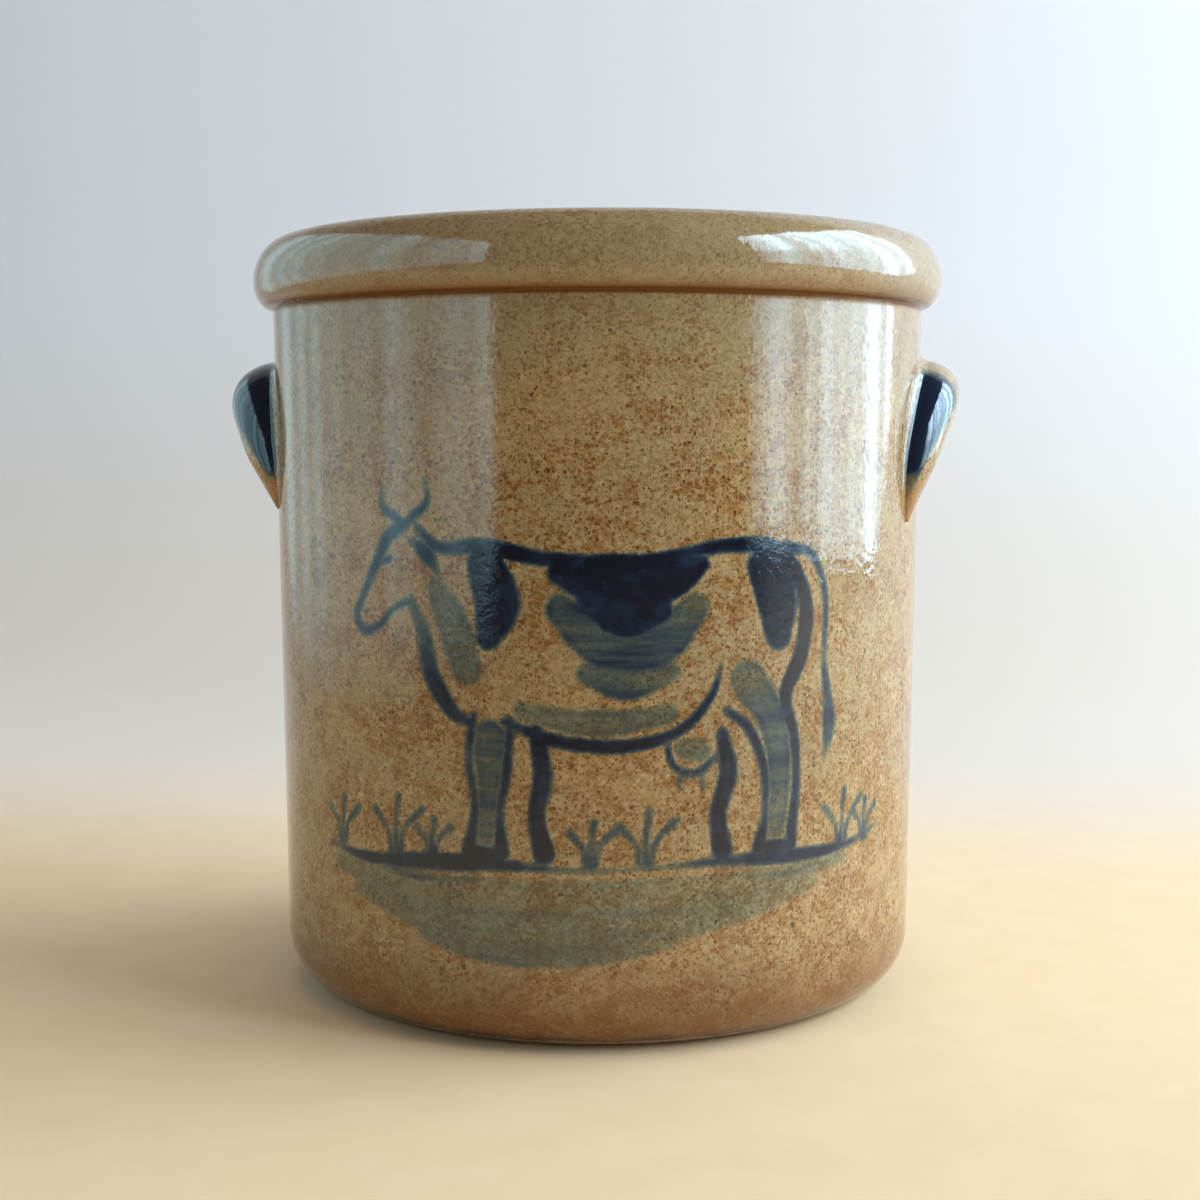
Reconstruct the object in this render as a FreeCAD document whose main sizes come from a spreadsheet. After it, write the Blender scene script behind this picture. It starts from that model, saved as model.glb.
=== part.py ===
"""Open stoneware crock with a rolled lip and two arched lug handles.

Millimetres, +Z up.  The origin is the middle of the footprint, on the table.
+X points at the right-hand lug handle, and -Y is the decorated front.
"""
import FreeCAD, Part
import math
import os
import Sketcher

SIZES = {
    # the thrown body
    "total_height": 175.2,
    "wall_radius_foot": 75.0,       # the wall's cone, carried down to the table
    "wall_radius_lip": 77.0,        # the same cone at the crease under the lip
    "crease_height": 159.0,
    "wall_thickness": 7.2,
    "floor_thickness": 8.0,
    "floor_corner_round": 12.0,
    "foot_round": 12.0,
    "foot_recess_radius": 52.0,
    "foot_recess_depth": 1.2,
    "lip_reach": 4.5,               # how far the lip stands out from the wall
    "lip_roll": 8.0,                # radius of the lip's outer top
    # the pulled lug handles: the right one is wider and flatter, as hand-pulled pairs differ
    "left_lug_tip_height": 112.4,   # where the two legs run out on the wall
    "left_lug_arch_rise": 27.2,     # from the tips to the strap's middle line
    "left_lug_arch_half_width": 21.5,
    "left_lug_reach": 12.0,         # how far the strap stands out at its middle
    "left_lug_half_thickness": 8.0,
    "right_lug_tip_height": 110.0,
    "right_lug_arch_rise": 29.8,
    "right_lug_arch_half_width": 23.2,
    "right_lug_reach": 9.4,
    "right_lug_half_thickness": 7.6,
    "lug_tip_reach": 1.8,
    "lug_tip_half_thickness": 1.0,
    "lug_thinning": 0.6,            # how slowly the legs thin: 1 is in step with their reach
}

# The arch's sections stand on planes that fan out from the middle of its open side.
LUG_FAN_DEGREES = (90, 60, 30, 0, -30, -60, -90)


def make_sheet(doc):
    """Put the driving dimensions in a spreadsheet, one named cell each."""
    sheet = doc.addObject("Spreadsheet::Sheet", "Sizes")
    for row, (name, value) in enumerate(SIZES.items(), start=1):
        sheet.set(f"A{row}", name)
        sheet.set(f"B{row}", str(value))
        sheet.setAlias(f"B{row}", name)
    doc.recompute()
    return sheet


def origin_plane(body, role):
    """Find one of a body's own base planes."""
    for feature in body.Origin.OriginFeatures:
        if feature.Role == role:
            return feature
    raise ValueError(f"{body.Label} has no {role}")


def vector(x, y):
    """A point in a sketch's plane."""
    return FreeCAD.Vector(x, y, 0)


def arc(centre, radius, first_degrees, last_degrees):
    """A circular arc for a sketch, anticlockwise from its first to its last angle."""
    circle = Part.Circle(vector(*centre), FreeCAD.Vector(0, 0, 1), radius)
    return Part.ArcOfCircle(circle, math.radians(first_degrees), math.radians(last_degrees))


def line(first, last):
    """A straight edge for a sketch."""
    return Part.LineSegment(vector(*first), vector(*last))


def draw_crock_profile(sketch):
    """Half of the crock's section: x is the radius and y the height.

    The edges run from the middle of the underside out to the foot, up the wall, over the lip, down
    the inside and back along the floor.  The first values only start the solver near its answer.
    """
    size = SIZES
    foot_radius = size["wall_radius_foot"]
    foot_round = size["foot_round"]
    recess = size["foot_recess_radius"]
    recess_depth = size["foot_recess_depth"]
    lip_wall = size["wall_radius_lip"]
    crease = size["crease_height"]
    reach = size["lip_reach"]
    roll = size["lip_roll"]
    height = size["total_height"]
    inner_round = reach + size["wall_thickness"] - roll
    crest = lip_wall + reach - roll
    inner_lip = crest - inner_round
    inner_foot = foot_radius - size["wall_thickness"]
    corner = size["floor_corner_round"]
    floor = size["floor_thickness"]

    edges = {
        "recess_top": line((0, recess_depth), (recess, recess_depth)),
        "recess_side": line((recess, recess_depth), (recess, 0)),
        "foot_ring": line((recess, 0), (foot_radius - foot_round, 0)),
        "foot_arc": arc((foot_radius - foot_round, foot_round), foot_round, -90, 0),
        "wall": line((foot_radius, foot_round), (lip_wall, crease)),
        "lip_under": arc((lip_wall, crease + reach), reach, -90, 0),
        "lip_side": line((lip_wall + reach, crease + reach), (lip_wall + reach, height - roll)),
        "lip_outer": arc((crest, height - roll), roll, 0, 90),
        "lip_inner": arc((crest, height - inner_round), inner_round, 90, 180),
        "inner_wall": line((inner_lip, height - inner_round), (inner_foot, floor + corner)),
        "floor_arc": arc((inner_foot - corner, floor + corner), corner, -90, 0),
        "floor": line((inner_foot - corner, floor), (0, floor)),
        "middle": line((0, floor), (0, recess_depth)),
    }
    number = {name: sketch.addGeometry(edge, False) for name, edge in edges.items()}
    start, end, centre = 1, 2, 3
    root = (-1, 1)
    upright_axis = -2
    flat_axis = -1

    def constrain(kind, *values):
        return sketch.addConstraint(Sketcher.Constraint(kind, *values))

    def measure(kind, name, values, formula):
        """Add a dimension whose size comes from the spreadsheet."""
        index = constrain(kind, *values)
        sketch.renameConstraint(index, name)
        sketch.setExpression(f".Constraints.{name}", formula)

    for first, last in (("recess_top", "recess_side"), ("recess_side", "foot_ring"),
                        ("wall", "lip_under"), ("floor", "middle"), ("middle", "recess_top")):
        constrain("Coincident", number[first], end, number[last], start)
    for first, last in (("foot_ring", "foot_arc"), ("foot_arc", "wall"), ("lip_under", "lip_side"),
                        ("lip_side", "lip_outer"), ("lip_outer", "lip_inner"),
                        ("lip_inner", "inner_wall")):
        constrain("Tangent", number[first], end, number[last], start)
    constrain("Tangent", number["inner_wall"], end, number["floor_arc"], end)
    constrain("Tangent", number["floor_arc"], start, number["floor"], start)
    for name in ("recess_top", "foot_ring", "floor"):
        constrain("Horizontal", number[name])
    for name in ("recess_side", "lip_side"):
        constrain("Vertical", number[name])
    constrain("PointOnObject", number["foot_ring"], start, flat_axis)
    constrain("PointOnObject", number["middle"], start, upright_axis)
    constrain("PointOnObject", number["middle"], end, upright_axis)
    constrain("Vertical", number["lip_under"], centre, number["lip_under"], start)
    constrain("Vertical", number["lip_outer"], centre, number["lip_outer"], end)
    constrain("Parallel", number["wall"], number["inner_wall"])

    slope = math.degrees(math.atan2(crease, lip_wall - foot_radius))
    measure("DistanceX", "recess_radius", (*root, number["recess_top"], end, recess),
            "Sizes.foot_recess_radius")
    measure("DistanceY", "recess_depth", (*root, number["recess_top"], end, recess_depth),
            "Sizes.foot_recess_depth")
    measure("Radius", "foot_round", (number["foot_arc"], foot_round), "Sizes.foot_round")
    measure("DistanceX", "lip_wall", (*root, number["wall"], end, lip_wall), "Sizes.wall_radius_lip")
    measure("DistanceY", "crease", (*root, number["wall"], end, crease), "Sizes.crease_height")
    measure("Angle", "wall_slope", (number["wall"], math.radians(slope)),
            "90 deg - atan((Sizes.wall_radius_lip - Sizes.wall_radius_foot) / Sizes.crease_height)")
    measure("Radius", "lip_reach", (number["lip_under"], reach), "Sizes.lip_reach")
    measure("Radius", "lip_roll", (number["lip_outer"], roll), "Sizes.lip_roll")
    measure("DistanceY", "height", (*root, number["lip_outer"], end, height), "Sizes.total_height")
    measure("Radius", "lip_inner_round", (number["lip_inner"], inner_round),
            "Sizes.lip_reach + Sizes.wall_thickness - Sizes.lip_roll")
    measure("Radius", "floor_corner", (number["floor_arc"], corner), "Sizes.floor_corner_round")
    measure("DistanceY", "floor", (*root, number["floor"], end, floor), "Sizes.floor_thickness")


def make_crock_body(doc):
    """The thrown body: one turn of the section about the upright axis."""
    body = doc.addObject("PartDesign::Body", "CrockBody")
    body.Label = "crock_body"
    sketch = body.newObject("Sketcher::SketchObject", "CrockProfile")
    sketch.AttachmentSupport = [(origin_plane(body, "XZ_Plane"), "")]
    sketch.MapMode = "FlatFace"
    draw_crock_profile(sketch)
    doc.recompute()
    turned = body.newObject("PartDesign::Revolution", "ThrownClay")
    turned.Profile = sketch
    turned.ReferenceAxis = (sketch, ["V_Axis"])
    turned.Angle = 360.0
    sketch.Visibility = False
    return body


def make_lug_section(doc, name, side, fan_degrees):
    """One oval section of the strap, centred on the wall and standing on its fan plane.

    Side is left or right.  Seen from the side, the strap's middle line is half an oval, open at the
    bottom.  out is the distance from the fan's middle to that line, aside and rise are its two parts,
    and wall is the cone's radius at that height.
    """
    lean = f"{fan_degrees} deg"
    arch_half = f"Sizes.{side}_lug_arch_half_width"
    arch_rise = f"Sizes.{side}_lug_arch_rise"
    reach = f"Sizes.{side}_lug_reach"
    thick = f"Sizes.{side}_lug_half_thickness"
    out = (f"({arch_half} * {arch_rise} / "
           f"sqrt(({arch_rise} * sin({lean}))^2 + ({arch_half} * cos({lean}))^2))")
    aside = f"({out} * sin({lean}))"
    rise = f"(Sizes.{side}_lug_tip_height + {out} * cos({lean}))"
    wall = ("(Sizes.wall_radius_foot + (Sizes.wall_radius_lip - Sizes.wall_radius_foot)"
            f" * {rise} / Sizes.crease_height)")
    fullness = f"cos({lean})" if abs(fan_degrees) < 90 else "0"
    section = doc.addObject("Part::Ellipse", name)
    section.setExpression(
        "MajorRadius",
        f"1mm * (Sizes.lug_tip_reach + ({reach} - Sizes.lug_tip_reach) * {fullness})")
    section.setExpression(
        "MinorRadius",
        f"1mm * (Sizes.lug_tip_half_thickness + ({thick} - Sizes.lug_tip_half_thickness)"
        f" * ({fullness})^Sizes.lug_thinning)")
    section.Placement.Rotation = FreeCAD.Rotation(FreeCAD.Vector(1, 0, 0), 90 - fan_degrees)
    section.setExpression("Placement.Base.x", f"1mm * sqrt({wall}^2 - {aside}^2)")
    section.setExpression("Placement.Base.y", f"1mm * {aside}")
    section.setExpression("Placement.Base.z", f"1mm * {rise}")
    section.Visibility = False
    return section


def make_lug_handle(doc, side, turn_degrees):
    """A pulled strap in an arch, cut to the wall's cone so that it seats on it face to face."""
    label = f"{side}_lug_handle"
    stem = f"{side.capitalize()}LugHandle"
    sections = []
    for count, fan_degrees in enumerate(LUG_FAN_DEGREES):
        sections.append(make_lug_section(doc, f"{stem}Section{count}", side, fan_degrees))
    doc.recompute()
    strap = doc.addObject("Part::Loft", f"{stem}Strap")
    strap.Sections = sections
    strap.Solid = True
    strap.Ruled = False
    strap.Visibility = False
    cone = doc.addObject("Part::Cone", f"{stem}WallCone")
    cone.setExpression("Radius1", "1mm * Sizes.wall_radius_foot")
    cone.setExpression("Radius2", "1mm * Sizes.wall_radius_lip")
    cone.setExpression("Height", "1mm * Sizes.crease_height")
    cone.Visibility = False
    handle = doc.addObject("Part::Cut", stem)
    handle.Base = strap
    handle.Tool = cone
    handle.Label = label
    handle.Placement = FreeCAD.Placement(
        FreeCAD.Vector(0, 0, 0), FreeCAD.Rotation(FreeCAD.Vector(0, 0, 1), turn_degrees))
    doc.recompute()
    if not handle.Shape.Volume < strap.Shape.Volume:
        raise ValueError(f"{label}: the wall's cone cut nothing from the strap")
    return handle


def check(doc, pieces):
    """Stop if any object failed, or if a piece is not one sound solid."""
    for item in doc.Objects:
        if "Invalid" in item.State or "Error" in item.State:
            raise ValueError(f"{item.Label} failed: {item.State}")
    for piece in pieces:
        shape = piece.Shape
        if shape.isNull() or not shape.isValid() or len(shape.Solids) != 1:
            raise ValueError(f"{piece.Label} is not one valid solid")


def main():
    doc = FreeCAD.newDocument("StonewareCrock")
    make_sheet(doc)
    pieces = [
        make_crock_body(doc),
        make_lug_handle(doc, "left", 180),
        make_lug_handle(doc, "right", 0),
    ]
    doc.recompute()
    check(doc, pieces)
    os.makedirs("parts", exist_ok=True)
    for piece in pieces:
        piece.Shape.exportStep(f"parts/{piece.Label}.step")
        box = piece.Shape.BoundBox
        print(f"{piece.Label}: volume {piece.Shape.Volume / 1000:.1f} cm3, "
              f"{box.XLength:.1f} x {box.YLength:.1f} x {box.ZLength:.1f} mm")


main()
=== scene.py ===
"""Looks of the stoneware crock: glazed body, two lug handles and cobalt brushwork.

Metres, +Z up.  The origin is where the body's axis meets the table.  -Y is the painted front, and the
lug handles are at -X and +X.
"""
import math
import bpy
import numpy as np
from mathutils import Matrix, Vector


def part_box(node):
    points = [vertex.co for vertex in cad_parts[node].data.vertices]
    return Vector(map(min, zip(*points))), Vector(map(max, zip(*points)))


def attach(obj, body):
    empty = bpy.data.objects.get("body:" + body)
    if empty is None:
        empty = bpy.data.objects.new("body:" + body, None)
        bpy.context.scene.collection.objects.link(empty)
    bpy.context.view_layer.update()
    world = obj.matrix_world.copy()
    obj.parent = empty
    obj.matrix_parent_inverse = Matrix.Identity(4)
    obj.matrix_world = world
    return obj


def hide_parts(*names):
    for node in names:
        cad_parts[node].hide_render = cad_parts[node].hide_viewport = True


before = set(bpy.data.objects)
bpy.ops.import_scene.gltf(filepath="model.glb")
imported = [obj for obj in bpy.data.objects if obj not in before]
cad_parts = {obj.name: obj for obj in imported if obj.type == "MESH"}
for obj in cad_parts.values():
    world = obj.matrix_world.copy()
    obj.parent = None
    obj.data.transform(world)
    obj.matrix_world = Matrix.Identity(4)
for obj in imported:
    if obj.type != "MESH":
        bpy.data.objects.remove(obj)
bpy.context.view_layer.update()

MM = 0.001

# Sizes of the thrown body, worked out from its own box in model.glb.
BODY_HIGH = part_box("crock_body")[1]
HEIGHT = BODY_HIGH[2]
LIP_RADIUS = BODY_HIGH[0]
LIP_REACH = 4.5 * MM
LIP_ROLL = 8.0 * MM
LIP_BELT = HEIGHT - 9.9 * MM    # where the lip stands out furthest
WALL_TOP = LIP_RADIUS - LIP_REACH
WALL_FOOT = WALL_TOP - 2.0 * MM
WALL = 7.2 * MM
FLOOR = 8.0 * MM
FLOOR_CORNER = 12.0 * MM
FOOT_ROUND = 12.0 * MM
RECESS_RADIUS = 52.0 * MM
RECESS_DEPTH = 1.2 * MM
CREASE = HEIGHT - 16.2 * MM
CREASE_ROUND = 0.45 * MM

# Sizes of the lug handles.  Their tips, rise and reach come from their own boxes.
LUG_HALF_WIDTH = {"left_lug_handle": 21.5 * MM, "right_lug_handle": 23.2 * MM}
LUG_THICK = {"left_lug_handle": 8.0 * MM, "right_lug_handle": 7.6 * MM}
LUG_TIP_REACH = 0.4 * MM
LUG_TIP_THICK = 0.4 * MM
LUG_JOINT = 80          # degrees round the strap from its crown to where it meets the wall

# The painted picture is centred a little to the right of -Y, as seen from the front.  The mesh is
# finer behind it, between these heights and these turns from -Y.
PICTURE_TURN = math.radians(5.5)
PAINT_LOW = 18 * MM
PAINT_HIGH = 118 * MM
PAINT_LEFT = math.radians(-47)
PAINT_RIGHT = math.radians(73)
PAINT_PITCH = 0.8 * MM

# The camera stands straight in front of the picture and looks slightly down.
CAMERA_DISTANCE = 6.012 * WALL_TOP
CAMERA_HEIGHT = 1.703 * WALL_TOP
CAMERA_DIP = 5.13       # degrees
CAMERA_LENS = 57.24     # mm, for a sensor of this width
CAMERA_SENSOR = 36
CAMERA_SHIFT = 1 / 600  # sideways, as a share of the view's width

# A glare is a second lamp this far behind the first, because two in one place hide each other.
GLARE_GAP = 0.03

# Colours of the room's light, the backdrop and the floor.
ROOM_GLOW = (0.72, 0.66, 0.58, 1)
BACKDROP = (0.63, 0.69, 0.73, 1)
SAND_DARK = (0.94, 0.70, 0.445)
SAND_PALE = (0.97, 0.74, 0.485)
FLOOR_BACK = (0.81, 0.72, 0.66, 1)
FLOOR_RISE = (0.84, 0.84, 0.90, 1)
FLOOR_REFLECTED = (0.03, 0.03, 0.03, 1)


# ---------------------------------------------------------------- camera, light and stage

def make_camera():
    """A camera a little above the middle of the crock."""
    turn = PICTURE_TURN
    data = bpy.data.cameras.new("camera")
    data.lens = CAMERA_LENS
    data.sensor_width = CAMERA_SENSOR
    data.shift_x = CAMERA_SHIFT
    data.clip_start = 0.01
    camera = bpy.data.objects.new("camera", data)
    camera.location = (math.sin(turn) * CAMERA_DISTANCE, -math.cos(turn) * CAMERA_DISTANCE, CAMERA_HEIGHT)
    camera.rotation_euler = (math.radians(90 - CAMERA_DIP), 0, turn)
    bpy.context.scene.collection.objects.link(camera)
    bpy.context.scene.camera = camera


def area_light(name, azimuth, distance, low, high, width, power, colour):
    """An upright soft light.  Azimuth 0 is straight in front of the crock and 90 is on its right."""
    turn = math.radians(azimuth)
    data = bpy.data.lights.new(name, "AREA")
    data.shape = "RECTANGLE"
    data.size = width
    data.size_y = high - low
    data.energy = power
    data.color = colour
    light = bpy.data.objects.new(name, data)
    light.location = (math.sin(turn) * distance, -math.cos(turn) * distance, (low + high) / 2)
    light.rotation_euler = (math.radians(90), 0, turn)
    light.visible_camera = False
    bpy.context.scene.collection.objects.link(light)
    return light


def streak_light(light, depth, sideways, upwards, footing=1.0, siding=1.0):
    """Give a light soft upright streaks, as a curtain does, and change its strength across and up it.

    Depth is how strong the streaks are.  Sideways and upwards are the strengths at the first and the
    last edge.  Footing and siding are the shares that are left along the bottom edge and along the
    first upright edge.
    """
    light.data.use_nodes = True
    tree = Nodes(light.data.node_tree)
    place = tree.add("ShaderNodeNewGeometry")
    apart = tree.add("ShaderNodeSeparateXYZ", Vector=place.outputs["Parametric"])
    side, rise = apart.outputs[0], apart.outputs[1]
    line = tree.add("ShaderNodeCombineXYZ", X=side)
    cloth = tree.noise(line.outputs[0], 9.0, 2.0, 0.6)
    level = tree.span(cloth, 0.38, 0.62, 1 - depth, 1 + depth)
    across = tree.span(side, 0.0, 1.0, *sideways, smooth=False)
    across = tree.maths("MAXIMUM", across, tree.span(rise, 0.22, 0.50))
    across = tree.maths("MULTIPLY", across, tree.span(side, 0.0, 0.32, siding, 1.0))
    up = tree.span(rise, 0.0, 1.0, *upwards, smooth=False)
    up = tree.maths("MULTIPLY", up, tree.span(rise, 0.0, 0.13, footing, 1.0))
    strength = tree.maths("MULTIPLY", level, tree.maths("MULTIPLY", across, up))
    tree.link(strength, tree.find("ShaderNodeEmission").inputs["Strength"])


def make_lights():
    """A large bright window on the right, a dim pale wall on the left and a warm ceiling.

    The window and the wall each have a glare, a second light just behind the first that only shows
    in the glaze.
    """
    for name, behind, power, colour in (("window_right", 0.0, 34, (0.75, 0.91, 0.98)),
                                        ("window_glare", GLARE_GAP, 20, (0.16, 0.58, 0.92))):
        window = area_light(name, 98, 1.05 + behind, 0.02, 1.20, 1.9, power, colour)
        streak_light(window, depth=0.5, sideways=(0.35, 1.25), upwards=(1.05, 1.75))
        window.visible_diffuse = behind == 0.0
    for name, behind, power, colour in (("wall_left", 0.0, 1.3, (0.66, 0.91, 1.0)),
                                        ("wall_glare", GLARE_GAP, 2.2, (0.42, 0.83, 0.95))):
        wall = area_light(name, -84, 0.50 + behind, 0.0, 0.62, 1.58, power, colour)
        streak_light(wall, depth=0.42, sideways=(0.85, 1.35), upwards=(1.10, 1.35),
                     footing=0.45, siding=0.25)
        wall.visible_diffuse = behind == 0.0
    ceiling = area_light("ceiling", 0, 0.25, 1.0, 2.0, 1.0, 3.8, (1.0, 0.62, 0.35))
    ceiling.rotation_euler = (0, 0, 0)
    ceiling.visible_glossy = False


def make_world():
    """A plain pale backdrop for the camera, and a soft dim light from all round."""
    world = bpy.data.worlds.new("studio")
    bpy.context.scene.world = world
    world.use_nodes = True
    tree = Nodes(world.node_tree)
    out = tree.find("ShaderNodeOutputWorld")
    soft = tree.find("ShaderNodeBackground")
    soft.inputs["Color"].default_value = ROOM_GLOW
    soft.inputs["Strength"].default_value = 0.10
    pale = tree.add("ShaderNodeBackground", Color=BACKDROP, Strength=1.0)
    seen = tree.add("ShaderNodeLightPath")
    both = tree.add("ShaderNodeMixShader", Fac=seen.outputs["Is Camera Ray"])
    tree.link(soft.outputs[0], both.inputs[1])
    tree.link(pale.outputs[0], both.inputs[2])
    tree.link(both.outputs[0], out.inputs["Surface"])


def make_floor_look():
    """A sandy floor that turns grey further back and up the wall.

    Its far front is dark in reflections, as an unlit room is.
    """
    material = bpy.data.materials.new("pale_floor")
    material.use_nodes = True
    tree = Nodes(material.node_tree)
    shader = tree.find("ShaderNodeBsdfPrincipled")
    shader.inputs["Roughness"].default_value = 0.75
    place = tree.add("ShaderNodeTexCoord")
    weave = tree.noise(place.outputs["Object"], 60.0, 3.0, 0.5)
    tint = tree.colours(weave, [(0.3, SAND_DARK), (0.7, SAND_PALE)])
    apart = tree.add("ShaderNodeSeparateXYZ", Vector=place.outputs["Object"])
    back, height = apart.outputs[1], apart.outputs[2]
    climb = tree.span(height, 0.0, 0.25)
    away = tree.span(back, 0.06, 0.32)
    far = tree.mix(climb, FLOOR_BACK, FLOOR_RISE)
    colour = tree.mix(tree.maths("MAXIMUM", climb, away), tint, far)
    ray = tree.add("ShaderNodeLightPath")
    room = tree.span(back, -0.12, -0.50, 0.0, 0.85)
    dark = tree.maths("MULTIPLY", room, ray.outputs["Is Glossy Ray"])
    tree.link(tree.mix(dark, colour, FLOOR_REFLECTED), shader.inputs["Base Color"])
    return material


def make_stage():
    """A pale floor that curves up into a pale wall behind."""
    half = 2.5
    front, bend, radius, top = -2.4, 0.42, 0.3, 1.6
    points = [(front, 0.0), (bend, 0.0)]
    steps = 16
    for step in range(1, steps + 1):
        angle = math.radians(90) * step / steps
        points.append((bend + radius * math.sin(angle), radius * (1 - math.cos(angle))))
    points.append((bend + radius, top))
    verts = [(side * half, y, z) for y, z in points for side in (-1, 1)]
    faces = [(2 * i, 2 * i + 1, 2 * i + 3, 2 * i + 2) for i in range(len(points) - 1)]
    mesh = bpy.data.meshes.new("floor")
    mesh.from_pydata(verts, [], faces)
    mesh.shade_smooth()
    mesh.materials.append(make_floor_look())
    floor = bpy.data.objects.new("floor", mesh)
    bpy.context.scene.collection.objects.link(floor)


# ---------------------------------------------------------------- small tools

class Nodes:
    """Short names for the node calls that the materials repeat."""

    def __init__(self, tree):
        self.tree = tree

    def find(self, kind):
        """The tree's own first node of a kind."""
        for node in self.tree.nodes:
            if node.bl_idname == kind:
                return node
        return self.add(kind)

    def link(self, source, target):
        self.tree.links.new(source, target)

    def put(self, node, key, value):
        """Set or link one input."""
        socket = node.inputs[key]
        if isinstance(value, bpy.types.NodeSocket):
            self.link(value, socket)
        else:
            socket.default_value = value

    def add(self, kind, **inputs):
        node = self.tree.nodes.new(kind)
        for key, value in inputs.items():
            self.put(node, key, value)
        return node

    def maths(self, operation, first, second=0.0, third=0.0, clamp=False):
        node = self.tree.nodes.new("ShaderNodeMath")
        node.operation = operation
        node.use_clamp = clamp
        for index, value in enumerate((first, second, third)):
            self.put(node, index, value)
        return node.outputs[0]

    def span(self, value, low, high, result_low=0.0, result_high=1.0, smooth=True):
        """Map low..high onto a new range, eased at both ends and held outside."""
        node = self.tree.nodes.new("ShaderNodeMapRange")
        node.interpolation_type = "SMOOTHSTEP" if smooth else "LINEAR"
        for index, item in enumerate((value, low, high, result_low, result_high)):
            self.put(node, index, item)
        return node.outputs[0]

    def noise(self, vector, scale, detail=2.0, roughness=0.5, distortion=0.0):
        node = self.add("ShaderNodeTexNoise", Vector=vector, Scale=scale, Detail=detail,
                        Roughness=roughness, Distortion=distortion)
        return node.outputs[0]

    def dots(self, vector, scale, share, largest, soft=0.06):
        """Dots in a share of random cells, up to the largest radius in cells, some of them faint."""
        node = self.add("ShaderNodeTexVoronoi", Vector=vector, Scale=scale)
        apart = self.add("ShaderNodeSeparateColor", Color=node.outputs["Color"])
        size = self.span(apart.outputs[0], 1 - share, 1.0, 0.0, largest, smooth=False)
        mask = self.span(self.maths("SUBTRACT", size, node.outputs["Distance"]), -soft, soft)
        strength = self.span(apart.outputs[1], 0.0, 1.0, 0.45, 1.0, smooth=False)
        return self.maths("MULTIPLY", mask, strength)

    def shaken(self, vector, scale, reach):
        """A place moved a little at random, so that what is drawn with it isn't regular."""
        offset = self.add("ShaderNodeTexNoise", Vector=vector, Scale=scale, Detail=1.0)
        node = self.tree.nodes.new("ShaderNodeVectorMath")
        node.operation = "MULTIPLY_ADD"
        for index, value in enumerate((offset.outputs["Color"], (reach, reach, reach), vector)):
            self.put(node, index, value)
        return node.outputs[0]

    def colours(self, value, stops):
        """Colour ramp through (place, (r, g, b)) stops."""
        node = self.add("ShaderNodeValToRGB", Fac=value)
        ramp = node.color_ramp
        while len(ramp.elements) < len(stops):
            ramp.elements.new(0.5)
        for element, (place, colour) in zip(ramp.elements, stops):
            element.position = place
        for element, (place, colour) in zip(ramp.elements, stops):
            element.color = (*colour, 1)
        return node.outputs[0]

    def mix(self, factor, first, second, blend="MIX"):
        node = self.tree.nodes.new("ShaderNodeMix")
        node.data_type = "RGBA"
        node.blend_type = blend
        self.put(node, 0, factor)
        self.put(node, 6, first)
        self.put(node, 7, second)
        return node.outputs[2]

    def attribute(self, name):
        node = self.tree.nodes.new("ShaderNodeAttribute")
        node.attribute_name = name
        return node.outputs["Fac"]


def add_piece(name, verts, faces):
    """A smooth mesh object from points and faces."""
    mesh = bpy.data.meshes.new(name)
    mesh.from_pydata([tuple(v) for v in verts], [], faces)
    mesh.validate()
    mesh.shade_smooth()
    piece = bpy.data.objects.new(name, mesh)
    bpy.context.scene.collection.objects.link(piece)
    return piece


def add_values(piece, name, values):
    """Store one number per vertex for a material to read."""
    layer = piece.data.attributes.new(name, "FLOAT", "POINT")
    layer.data.foreach_set("value", np.asarray(values, dtype=np.float32))


def oval_points(centre, across, up, first, last, count):
    """Points on an upright ellipse in the section's plane, from one angle to another in degrees."""
    angles = np.radians(np.linspace(first, last, count))
    return [(centre[0] + across * math.cos(a), centre[1] + up * math.sin(a)) for a in angles]


def arc_points(centre, radius, first, last, count):
    """Points on a round arc in the section's plane."""
    return oval_points(centre, radius, radius, first, last, count)


def run_points(first, last, pitch):
    """Evenly spaced points on a straight line, without its last point."""
    count = max(1, round(math.dist(first, last) / pitch))
    return [(first[0] + (last[0] - first[0]) * i / count, first[1] + (last[1] - first[1]) * i / count)
            for i in range(count)]


def wall_radius(z):
    """The outer wall's radius at a height."""
    return WALL_FOOT + (WALL_TOP - WALL_FOOT) * z / CREASE


# ---------------------------------------------------------------- cobalt brushwork
# A plain folk cow on a strip of grass.  One unit is a hundredth of the cow's length: 0 across is its
# muzzle, 0 up is the ground.  A stroke's points are (across, up, width, load), where load is how much
# pigment the brush carries.

COW_LENGTH = 1.46 * WALL_TOP
GROUND_HEIGHT = 0.265 * CREASE
COW_MIDDLE = 52
BOLDNESS = 1.22         # how much wider every stroke is than its listed width
BRUSH_REACH = 3.0       # how far from a stroke, in mm, the distance to it is still measured
FAR_AWAY = 1e4          # where points that carry no painting are put, in mm across

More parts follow.
